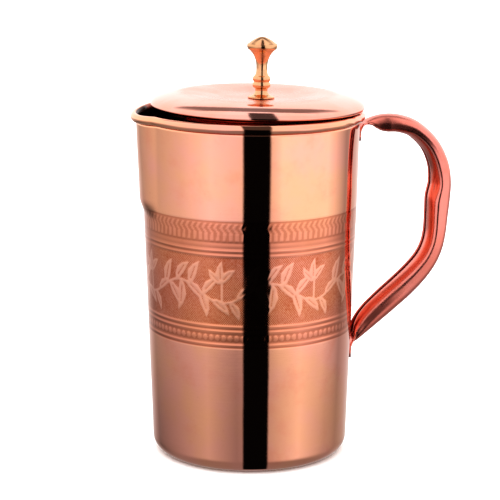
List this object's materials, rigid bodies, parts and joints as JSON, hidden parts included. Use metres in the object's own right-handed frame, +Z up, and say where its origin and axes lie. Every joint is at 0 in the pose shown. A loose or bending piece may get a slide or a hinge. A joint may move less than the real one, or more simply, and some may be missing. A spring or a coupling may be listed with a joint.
{
  "type": "copper water jug with lid",
  "caption": "Tall tapered round jug with a rolled rim, pouring lip, folded-strip handle and lift-off lid with a turned knob.",
  "frame": {"origin": "centre of the flat base, on the surface the jug stands on", "axes": "+Z up along the axis of the body, +X towards the handle, -X towards the pouring lip"},
  "size_m": [0.1828, 0.1272, 0.2337],
  "materials": {
    "jug_copper": "polished copper, matte patterned band",
    "handle_copper": "polished copper sheet",
    "rivet_copper": "copper",
    "lid_copper": "polished copper",
    "knob_brass": "polished turned brass"
  },
  "bodies": {
    "jug": {"jug_body": "jug_copper", "handle": "handle_copper", "rivet_upper": "rivet_copper", "rivet_lower": "rivet_copper"},
    "lid": {"lid_shell": "lid_copper", "lid_collar": "lid_copper", "lid_knob": "knob_brass", "knob_washer": "knob_brass", "knob_screw": "knob_brass"}
  },
  "joints": [
    {"name": "lid_lift", "type": "slide", "parent": "jug", "child": "lid", "axis": [0, 0, 1], "range_m": [0, 0.12]}
  ]
}
